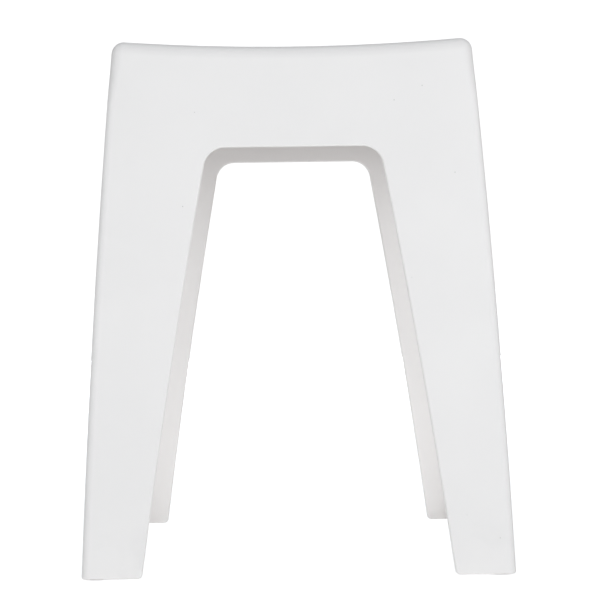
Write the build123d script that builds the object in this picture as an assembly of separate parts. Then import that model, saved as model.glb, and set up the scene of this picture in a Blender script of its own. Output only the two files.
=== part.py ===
from build123d import *
import os

# A shower stool: one moulded plastic shell, open underneath, on four push-in rubber feet.
# Millimetres, +Z up, front towards -Y. The origin is on the floor, at the middle of the footprint.

# ---- driving dimensions ------------------------------------------------------------------
leg_end = 1.0              # the leg ends stand this far off the floor, on the rubber soles
seat_edge = 481.1          # height of the seat's left and right edges before they are rounded
seat_dip = 6.6             # how far the middle of the seat lies below those edges

base_half_width = 193.0    # half the width and half the depth at the leg ends
base_half_depth = 165.0
side_slope = 0.0644        # how fast the side walls and the front wall lean in, going up
front_slope = 0.0796
side_bow = 2.6             # the side walls' outward bow at mid height

wall = 4.2                 # thickness of the shell
leg_round = 6.5            # outer corner from a side wall to the front wall, along the legs
leg_round_top = 425.0      # from this height up it widens
seat_side_round = 11.0     # outer corner all round a side wall's top, from the seat to the front
seat_round_bottom = 458.0  # from this height up
seat_front_round = 12.0    # outer corner from the seat to the front wall
rim_round = 1.9            # rounding of both edges of the shell's lower rim
leg_end_round = 4.5        # corner of a leg's end, at the arch

arch_top = 383.1           # height of all four arches
arch_round = 19.0          # top corners of the arches
arch_bow = 2.2             # bow of an arch's sides at mid height
front_arch_half = 139.0    # half the width of the front and rear arches at the leg ends
front_arch_slope = 0.1613
side_arch_half = 108.0     # half the width of the side arches at the leg ends
side_arch_slope = 0.125

rib_thickness = 2.6        # the grid of ribs under the seat
rib_bottom = 449.0
ribs_from_side_to_side = 5
ribs_from_front_to_back = 7

socket_top = 26.0          # the block in each leg's end that holds the rubber foot
socket_inner_x = 169.5     # its two faces towards the middle of the stool
socket_inner_y = 118.0
socket_round = 3.0

foot_x = 179.6             # centre of each foot
foot_y = 140.0
stem_width = 12.0          # the foot's stem, a push fit in the socket
stem_length = 32.0
stem_round = 3.0
stem_top = 14.0
stem_lead = 1.5            # chamfer at the stem's tip
socket_floor_gap = 1.0     # room left above the stem
sole_width = 16.0          # the foot's sole, under the socket
sole_length = 38.0
sole_round = 4.0
sole_thickness = 3.0
tread_grooves = 4          # short grooves across the sole, closed at both ends
tread_pitch = 8.0
tread_length = 11.0
tread_width = 2.0
tread_depth = 0.8

below = -20.0              # cutting shapes start this far under the floor
beyond = 300.0             # and reach this far past the middle


# ---- where the walls are -----------------------------------------------------------------
shell_height = seat_edge - leg_end
arch_height = arch_top - leg_end


def bow(up, height, most):
    """How far a bowed side stands out, at a distance up from the leg ends."""
    return 4 * most * (up / height) * (1 - up / height)


def side_wall(z, inset=0.0):
    """Half the width of the shell at a height."""
    up = z - leg_end
    return base_half_width - side_slope * up + bow(up, shell_height, side_bow) - inset


def front_wall(z, inset=0.0):
    """Half the depth of the shell at a height."""
    return base_half_depth - front_slope * (z - leg_end) - inset


def arch_side(z, half, slope):
    """Half the width of an arch at a height."""
    up = z - leg_end
    return half - slope * up + bow(up, arch_height, arch_bow)


# ---- outlines and prisms -----------------------------------------------------------------
def bowed_outline(half_at, low, high, dip=0.0):
    """A face between two bowed sides. Its top edge dips in the middle."""
    heights = (low, (low + high) / 2, high)
    right = ThreePointArc(*[(half_at(z), z) for z in heights])
    left = ThreePointArc(*[(-half_at(z), z) for z in heights])
    if dip > 0:
        top = ThreePointArc(left @ 1, (0, high - dip), right @ 1)
    else:
        top = Line(left @ 1, right @ 1)
    return make_face([left, top, right, Line(right @ 0, left @ 0)])


def straight_outline(half_at, low, high):
    """A face between two straight leaning sides."""
    left = [(-half_at(z), z) for z in (low, high)]
    right = [(half_at(z), z) for z in (high, low)]
    return make_face(Polyline(*left, *right, close=True))


def through(face, plane):
    """A prism of the face, both ways from the plane, longer than the stool."""
    return extrude(plane * face, amount=beyond, both=True)


def box_between(low, high):
    """A box from its lowest corner to its highest corner."""
    size = [b - a for a, b in zip(low, high)]
    middle = [(a + b) / 2 for a, b in zip(low, high)]
    return Pos(*middle) * Box(*size)


def between(low, high):
    """All the space between two heights."""
    return box_between((-beyond, -beyond, low), (beyond, beyond, high))


# ---- the shell ---------------------------------------------------------------------------
def sharp_block(inset, low):
    """The stool's outer form, or the form at a depth inside it, with sharp corners."""
    high = seat_edge - inset
    front_view = bowed_outline(lambda z: side_wall(z, inset), low, high, seat_dip)
    side_view = straight_outline(lambda z: front_wall(z, inset), low, seat_edge)
    return through(front_view, Plane.XZ) & through(side_view, Plane.YZ)


def legs_part(inset, low):
    """The block up to leg_round_top, with its upright corners rounded."""
    body = sharp_block(inset, low) & between(low, leg_round_top)
    upright = body.edges().filter_by(lambda edge: low + 1 < edge.center().Z < leg_round_top - 1)
    return fillet(upright, leg_round - inset)


def seat_part(inset, low):
    """The block from seat_round_bottom up, with the corners round the seat rounded."""
    body = sharp_block(inset, low)
    high = seat_edge - inset

    def over_front_or_rear(edge):
        at = edge.center()
        return at.Z > high - seat_dip - 1 and abs(at.Y) > side_arch_half

    def round_a_side_wall(edge):
        at = edge.center()
        return at.Z > low + 1 and abs(at.X) > side_wall(at.Z, inset) - 3

    body = fillet(body.edges().filter_by(over_front_or_rear), seat_front_round - inset)
    body = fillet(body.edges().filter_by(round_a_side_wall), seat_side_round - inset)
    return body & between(seat_round_bottom, seat_edge)


def block(inset, low):
    """The outer form, or the form at a depth inside it, with rounded corners."""
    legs = legs_part(inset, low)
    seat = seat_part(inset, low)
    widening = loft([legs.faces().sort_by(Axis.Z)[-1], seat.faces().sort_by(Axis.Z)[0]], ruled=True)
    return legs + widening + seat


def arch(half, slope, plane):
    """The cutter for a pair of opposite arches."""
    face = bowed_outline(lambda z: arch_side(z, half, slope), below, arch_top)
    return through(fillet(face.vertices().group_by(Axis.Y)[-1], arch_round), plane)


def leg_end_corners(body):
    """The edges through the wall where an arch meets a leg's end."""
    def at_an_arch(edge):
        at = edge.center()
        front_or_rear = abs(abs(at.X) - front_arch_half) < 1
        left_or_right = abs(abs(at.Y) - side_arch_half) < 1
        level = abs(at.Z - leg_end) < 0.1
        return level and edge.length < 2 * wall and (front_or_rear or left_or_right)

    return body.edges().filter_by(at_an_arch)


def rim_edges(body):
    """Both edges of the rim that runs round the arches and the leg ends."""
    def is_strip(face):
        mean_width = 2 * face.area / face.outer_wire().length
        return face.center().Z < arch_top + 1 and mean_width < 1.05 * wall

    edges = [edge for strip in body.faces().filter_by(is_strip) for edge in strip.edges()]

    def is_not_a_seam(edge):
        return sum(edge.is_same(other) for other in edges) == 1

    return ShapeList(edges).filter_by(is_not_a_seam)


def evenly_spaced(count, half):
    """Where ribs stand that part the space between two opposite walls evenly."""
    return [half * (2 * (i + 1) / (count + 1) - 1) for i in range(count)]


def seat_ribs():
    """Upright ribs under the seat, in a grid, before they are trimmed to the walls."""
    half_rib = rib_thickness / 2
    ribs = Part()
    for y in evenly_spaced(ribs_from_side_to_side, front_wall(rib_bottom, wall)):
        ribs += box_between((-beyond, y - half_rib, rib_bottom), (beyond, y + half_rib, seat_edge))
    for x in evenly_spaced(ribs_from_front_to_back, side_wall(rib_bottom, wall)):
        ribs += box_between((x - half_rib, -beyond, rib_bottom), (x + half_rib, beyond, seat_edge))
    return ribs


def foot_stem(top):
    """The upright plug of a foot, from the underside of the socket up to a height."""
    face = RectangleRounded(stem_width, stem_length, stem_round)
    return Pos(foot_x, foot_y, sole_thickness) * extrude(face, amount=top - sole_thickness)


def socket_block():
    """The block in one leg's end, before it is trimmed to the walls and cut for the stem."""
    low = (socket_inner_x, socket_inner_y, sole_thickness)
    body = box_between(low, (beyond, beyond, socket_top))

    def faces_the_middle(edge):
        at = edge.center()
        upright = abs(at.X - low[0]) < 1 and abs(at.Y - low[1]) < 1
        on_top = at.Z > socket_top - 1 and (abs(at.X - low[0]) < 1 or abs(at.Y - low[1]) < 1)
        return upright or on_top

    return fillet(body.edges().filter_by(faces_the_middle), socket_round)


def at_each_leg(body):
    """The body at the right rear leg, and its mirror images at the others, by the leg's name."""
    right = {"rear_right": body, "front_right": mirror(body, Plane.XZ)}
    left = {name.replace("right", "left"): mirror(piece, Plane.YZ) for name, piece in right.items()}
    return right | left


def seat_shell():
    """Seat, aprons, legs, ribs and sockets in one moulding."""
    shell = block(0, leg_end) - block(wall, below)
    shell -= arch(front_arch_half, front_arch_slope, Plane.XZ)
    shell -= arch(side_arch_half, side_arch_slope, Plane.YZ)
    shell = fillet(leg_end_corners(shell), leg_end_round)
    shell = fillet(rim_edges(shell), rim_round)
    inside = block(wall / 2, below)
    shell += seat_ribs() & inside
    for socket in at_each_leg(socket_block() & inside).values():
        shell += socket
    for pocket in at_each_leg(foot_stem(stem_top + socket_floor_gap)).values():
        shell -= pocket
    return shell


# ---- the feet ----------------------------------------------------------------------------
def foot():
    """One rubber foot at the right rear leg: a stem on a sole with grooves across it."""
    stem = foot_stem(stem_top)
    stem = chamfer(stem.faces().sort_by(Axis.Z)[-1].edges(), stem_lead)
    sole = extrude(RectangleRounded(sole_width, sole_length, sole_round), amount=sole_thickness)
    body = stem + Pos(foot_x, foot_y, 0) * sole
    groove = extrude(SlotOverall(tread_length, tread_width), amount=tread_depth)
    for i in range(tread_grooves):
        y = foot_y + tread_pitch * (i - (tread_grooves - 1) / 2)
        body -= Pos(foot_x, y, 0) * groove
    return body


# ---- the files ---------------------------------------------------------------------------
def write_parts():
    """One STEP file for each piece, named after it."""
    pieces = {"seat_shell": seat_shell()}
    for leg, piece in at_each_leg(foot()).items():
        pieces["foot_" + leg] = piece
    os.makedirs("parts", exist_ok=True)
    for name, piece in pieces.items():
        piece.label = name
        export_step(piece, f"parts/{name}.step")


write_parts()
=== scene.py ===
import math

import bpy
from mathutils import Matrix, Vector

# The shower stool's looks. Metres, in the CAD frame: +Z up, front towards -Y, floor at Z = 0.
# The CAD shapes stay as they are. The script adds the camera, the studio and the materials.

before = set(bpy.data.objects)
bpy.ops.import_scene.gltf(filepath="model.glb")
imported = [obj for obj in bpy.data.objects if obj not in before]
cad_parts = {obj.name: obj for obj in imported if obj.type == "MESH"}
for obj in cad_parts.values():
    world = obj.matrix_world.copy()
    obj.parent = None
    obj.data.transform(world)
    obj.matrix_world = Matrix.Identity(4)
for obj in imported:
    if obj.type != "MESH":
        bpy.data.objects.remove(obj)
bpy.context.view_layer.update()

# ---- camera ------------------------------------------------------------------------------
CAMERA_PLACE = (-0.002, -1.7045, 0.2862)
CAMERA_TURN_RIGHT = math.radians(0.229)
CAMERA_TILT_DOWN = math.radians(1.486)
CAMERA_ROLL = math.radians(0.778)
CAMERA_LENS = 104.94                    # in millimetres, as is the sensor's width
CAMERA_SENSOR = 36.0

# ---- softboxes: place, width and height, watts and colour of each ------------------------
FRONT_TINT = (0.937, 0.973, 1.0)
EDGE_TINT = (0.90, 0.94, 1.0)
SOFTBOXES = {
    "front_left": ((-2.0, -3.0, 0.9), (2.0, 2.0), 17.3, FRONT_TINT),
    "front_right": ((2.0, -3.0, 0.9), (2.0, 2.0), 35.6, FRONT_TINT),
    "front_low": ((0.0, -3.0, 0.25), (3.0, 0.4), 16.1, FRONT_TINT),
    "overhead": ((0.0, 0.0, 2.6), (2.0, 2.0), 11.6, EDGE_TINT),
    "left": ((-3.0, 0.0, 0.8), (2.0, 1.6), 4.0, EDGE_TINT),
    "right": ((3.0, 0.0, 0.8), (2.0, 1.6), 2.0, EDGE_TINT),
    "rear": ((0.0, 3.0, 0.8), (2.0, 1.6), 31.7, EDGE_TINT),
}
SOFTBOX_AIM = (0.0, 0.0, 0.25)

# ---- room and floor ----------------------------------------------------------------------
ROOM_COLOR = (0.95, 0.98, 1.0)
ROOM_STRENGTH = 0.252
BACKDROP_STRENGTH = 1.1                 # the backdrop as the camera sees it
FLOOR_RADIUS = 12.0
FLOOR_SIDES = 96
FLOOR_COLOR = (0.9, 0.9, 0.9)
FLOOR_ROUGHNESS = 0.9

# The floor glows a little. What it gives the stool differs in three zones round the stool's
# middle, which blend between the distances here.
GLOW_UNDER_SEAT = 0.74
SEAT_TO_LEGS = (0.12, 0.18)
GLOW_UNDER_LEGS = 0.20
LEGS_TO_OUTSIDE = (0.35, 0.6)
GLOW_OUTSIDE = 0.24

# The camera sees another glow, which makes the floor white up to the backdrop.
GLOW_SEEN_NEAR = 0.62
NEAR_TO_FAR = (0.3, 2.0)
GLOW_SEEN_FAR = 0.97

# ---- moulded plastic ---------------------------------------------------------------------
PLASTIC = (0.887, 0.858, 0.840)
PLASTIC_SPECULAR = 0.45

CLOUD_COLOR = (0.870, 0.842, 0.825)     # the darker side of its cloudy tone
CLOUD_SCALE = 9.0
CLOUD_RANGE = (0.35, 0.65)              # noise from no cloud to full cloud

PATCH_SCALE = 26.0                      # patches in all the kinds of wear
PATCH_DETAIL = 4.0

EDGE_COLOR = (0.902, 0.880, 0.864)      # where edges are rubbed
EDGE_RANGE = (0.52, 0.60)               # pointiness from a flat face to an edge
EDGE_MOST = 0.7

SPECK_COLOR = (0.62, 0.61, 0.58)        # specks in the granulate
SPECK_CELLS = 42.0                      # cells to a metre, with one speck in each
SPECK_SIZE = 0.028                      # as a share of a cell
SPECK_CORE = 0.6                        # share of a speck that is fully dark

SCUFF_COLOR = (0.70, 0.69, 0.67)
SCUFF_HEIGHT = 0.06                     # scuffs fade out up to here
SCUFF_RANGE = (0.52, 0.72)              # patches from clean to scuffed
SCUFF_MOST = 0.35

DULL_SCALE = 40.0
DULL_RANGE = (0.3, 0.7)
DULL_ROUGHNESS = (0.50, 0.56)

WORN_HEIGHT = (0.466, 0.472)            # the seat's top lies above this range
WORN_FACING_UP = (0.9, 1.0)
WORN_RANGE = (0.1, 0.9)                 # patches from new to worn
WORN_MOST = 0.08                        # taken off the roughness

RIPPLE_SCALE = 70.0
RIPPLE_DEPTH = 0.00006
GRAIN_SCALE = 1000.0                    # the spark-eroded grain of the mould
GRAIN_DETAIL = 3.0
GRAIN_DEPTH = 0.00004

# ---- rubber ------------------------------------------------------------------------------
RUBBER = (0.36, 0.36, 0.355)
RUBBER_ROUGHNESS = 0.72
DUST_COLOR = (0.47, 0.465, 0.45)
DUST_ROUGHNESS = 0.9
DUST_SCALE = 140.0
DUST_DETAIL = 4.0
DUST_RANGE = (0.42, 0.68)               # noise from clean to dusty
RUBBER_GRAIN_SCALE = 1600.0
RUBBER_GRAIN_DETAIL = 3.0
RUBBER_GRAIN_DEPTH = 0.00002


# ---- node helpers ------------------------------------------------------------------------
def add(tree, kind, **sockets):
    """A new node. Each socket named, with _ for a space, gets a value or another's output."""
    made = tree.nodes.new("ShaderNode" + kind)
    for name, value in sockets.items():
        socket = made.inputs[name.replace("_", " ")]
        if isinstance(value, bpy.types.NodeSocket):
            tree.links.new(value, socket)
        else:
            socket.default_value = value
    return made


def new_material(name):
    """A material, its node tree and its shader."""
    material = bpy.data.materials.new(name)
    material.use_nodes = True
    return material, material.node_tree, material.node_tree.nodes["Principled BSDF"]


def noise(tree, where, scale, detail=2.0):
    return add(tree, "TexNoise", Vector=where, Scale=scale, Detail=detail).outputs["Fac"]


def remap(tree, value, from_low, from_high, to_low=0.0, to_high=1.0):
    """The value moved from one range to the other, and held at its ends."""
    return add(tree, "MapRange", Value=value, From_Min=from_low, From_Max=from_high,
               To_Min=to_low, To_Max=to_high).outputs["Result"]


def math_node(tree, kind, operation, *sources):
    """The number that a Math or VectorMath node makes of other nodes' outputs."""
    made = tree.nodes.new("ShaderNode" + kind)
    made.operation = operation
    for source, socket in zip(sources, made.inputs):
        tree.links.new(source, socket)
    return made.outputs["Value"]


def product(tree, first, second):
    return math_node(tree, "Math", "MULTIPLY", first, second)


def blend(tree, share, first, second):
    """The first colour, turning to the second as the share goes from 0 to 1."""
    first = first if isinstance(first, bpy.types.NodeSocket) else (*first, 1)
    return add(tree, "MixRGB", Fac=share, Color1=first, Color2=(*second, 1)).outputs["Color"]


def bump(tree, height, depth, under=None):
    """The normal of a bumpy surface, on top of the bumps under it."""
    made = add(tree, "Bump", Height=height, Distance=depth)
    if under:
        tree.links.new(under, made.inputs["Normal"])
    return made.outputs["Normal"]


# ---- camera and studio -------------------------------------------------------------------
def place_object(data, matrix):
    made = bpy.data.objects.new(data.name, data)
    bpy.context.scene.collection.objects.link(made)
    made.matrix_world = matrix
    return made


def make_camera():
    data = bpy.data.cameras.new("camera")
    data.lens = CAMERA_LENS
    data.sensor_width = CAMERA_SENSOR
    turn = Matrix.Rotation(-CAMERA_TURN_RIGHT, 4, "Z")
    tilt = Matrix.Rotation(math.pi / 2 - CAMERA_TILT_DOWN, 4, "X")
    roll = Matrix.Rotation(-CAMERA_ROLL, 4, "Z")
    camera = place_object(data, Matrix.Translation(CAMERA_PLACE) @ turn @ tilt @ roll)
    bpy.context.scene.camera = camera


def make_softbox(name, place, size, watts, color):
    data = bpy.data.lights.new(name, "AREA")
    data.shape = "RECTANGLE"
    data.size, data.size_y = size
    data.energy = watts
    data.color = color
    towards = Vector(SOFTBOX_AIM) - Vector(place)
    turn = towards.to_track_quat("-Z", "Y").to_matrix().to_4x4()
    place_object(data, Matrix.Translation(place) @ turn)


def make_room():
    """Even light from all round, in front of a backdrop that the camera sees as white."""
    world = bpy.data.worlds.new("room")
    world.use_nodes = True
    tree = world.node_tree
    tree.nodes.clear()
    room = add(tree, "Background", Color=(*ROOM_COLOR, 1), Strength=ROOM_STRENGTH)
    backdrop = add(tree, "Background", Color=(1, 1, 1, 1), Strength=BACKDROP_STRENGTH)
    seen = add(tree, "LightPath").outputs["Is Camera Ray"]
    both = add(tree, "MixShader", Fac=seen)
    tree.links.new(room.outputs[0], both.inputs[1])
    tree.links.new(backdrop.outputs[0], both.inputs[2])
    add(tree, "OutputWorld", Surface=both.outputs[0])
    bpy.context.scene.world = world


def make_floor():
    """A pale floor that glows, with one glow for the stool and one for the camera."""
    bpy.ops.mesh.primitive_circle_add(
        vertices=FLOOR_SIDES, radius=FLOOR_RADIUS, fill_type="NGON")
    floor = bpy.context.object
    floor.name = "floor"
    material, tree, shader = new_material("floor")
    shader.inputs["Base Color"].default_value = (*FLOOR_COLOR, 1)
    shader.inputs["Roughness"].default_value = FLOOR_ROUGHNESS
    shader.inputs["Specular IOR Level"].default_value = 0.0
    shader.inputs["Emission Color"].default_value = (1, 1, 1, 1)
    where = add(tree, "TexCoord").outputs["Object"]
    away = math_node(tree, "VectorMath", "LENGTH", where)
    under = remap(tree, away, *SEAT_TO_LEGS, GLOW_UNDER_SEAT, GLOW_UNDER_LEGS)
    given = remap(tree, away, *LEGS_TO_OUTSIDE, under, GLOW_OUTSIDE)
    seen = remap(tree, away, *NEAR_TO_FAR, GLOW_SEEN_NEAR, GLOW_SEEN_FAR)
    by_camera = add(tree, "LightPath").outputs["Is Camera Ray"]
    glow = remap(tree, by_camera, 0, 1, given, seen)
    tree.links.new(glow, shader.inputs["Emission Strength"])
    floor.data.materials.append(material)


# ---- materials ---------------------------------------------------------------------------
def moulded_plastic():
    """Matte white plastic: cloudy tone, specks, rubbed edges, scuffs and a fine mould grain."""
    material, tree, shader = new_material("moulded_plastic")
    where = add(tree, "TexCoord").outputs["Object"]
    height = add(tree, "SeparateXYZ", Vector=where).outputs["Z"]
    geometry = add(tree, "NewGeometry")
    facing_up = add(tree, "SeparateXYZ", Vector=geometry.outputs["Normal"]).outputs["Z"]
    patches = noise(tree, where, PATCH_SCALE, PATCH_DETAIL)

    clouds = remap(tree, noise(tree, where, CLOUD_SCALE), *CLOUD_RANGE)
    edges = remap(tree, geometry.outputs["Pointiness"], *EDGE_RANGE, 0.0, EDGE_MOST)
    from_speck = add(tree, "TexVoronoi", Vector=where, Scale=SPECK_CELLS).outputs["Distance"]
    specks = remap(tree, from_speck, SPECK_SIZE, SPECK_SIZE * SPECK_CORE)
    low_down = remap(tree, height, SCUFF_HEIGHT, 0.0)
    scuffs = product(tree, low_down, remap(tree, patches, *SCUFF_RANGE, 0.0, SCUFF_MOST))
    color = blend(tree, clouds, PLASTIC, CLOUD_COLOR)
    color = blend(tree, product(tree, edges, patches), color, EDGE_COLOR)
    color = blend(tree, scuffs, color, SCUFF_COLOR)
    color = blend(tree, specks, color, SPECK_COLOR)
    tree.links.new(color, shader.inputs["Base Color"])

    on_seat = product(tree, remap(tree, height, *WORN_HEIGHT),
                      remap(tree, facing_up, *WORN_FACING_UP))
    worn = product(tree, on_seat, remap(tree, patches, *WORN_RANGE, 0.0, WORN_MOST))
    dull = remap(tree, noise(tree, where, DULL_SCALE), *DULL_RANGE, *DULL_ROUGHNESS)
    roughness = math_node(tree, "Math", "SUBTRACT", dull, worn)
    tree.links.new(roughness, shader.inputs["Roughness"])
    shader.inputs["Specular IOR Level"].default_value = PLASTIC_SPECULAR

    ripple = bump(tree, noise(tree, where, RIPPLE_SCALE), RIPPLE_DEPTH)
    grain = bump(tree, noise(tree, where, GRAIN_SCALE, GRAIN_DETAIL), GRAIN_DEPTH, ripple)
    tree.links.new(grain, shader.inputs["Normal"])
    return material


def foot_rubber():
    """Grey rubber with a grain and some dust."""
    material, tree, shader = new_material("grey_rubber")
    where = add(tree, "TexCoord").outputs["Object"]
    dust = remap(tree, noise(tree, where, DUST_SCALE, DUST_DETAIL), *DUST_RANGE)
    tree.links.new(blend(tree, dust, RUBBER, DUST_COLOR), shader.inputs["Base Color"])
    roughness = remap(tree, dust, 0.0, 1.0, RUBBER_ROUGHNESS, DUST_ROUGHNESS)
    tree.links.new(roughness, shader.inputs["Roughness"])
    grain = bump(tree, noise(tree, where, RUBBER_GRAIN_SCALE, RUBBER_GRAIN_DETAIL),
                 RUBBER_GRAIN_DEPTH)
    tree.links.new(grain, shader.inputs["Normal"])
    return material


def finish_nodes():
    """The CAD pieces get their materials."""
    plastic, rubber = moulded_plastic(), foot_rubber()
    for name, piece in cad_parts.items():
        piece.material_slots[0].material = rubber if name.startswith("foot_") else plastic


# ---- the scene ---------------------------------------------------------------------------
make_camera()
make_room()
for name, facts in SOFTBOXES.items():
    make_softbox(name, *facts)
make_floor()
finish_nodes()
bpy.context.scene.view_settings.view_transform = "Standard"
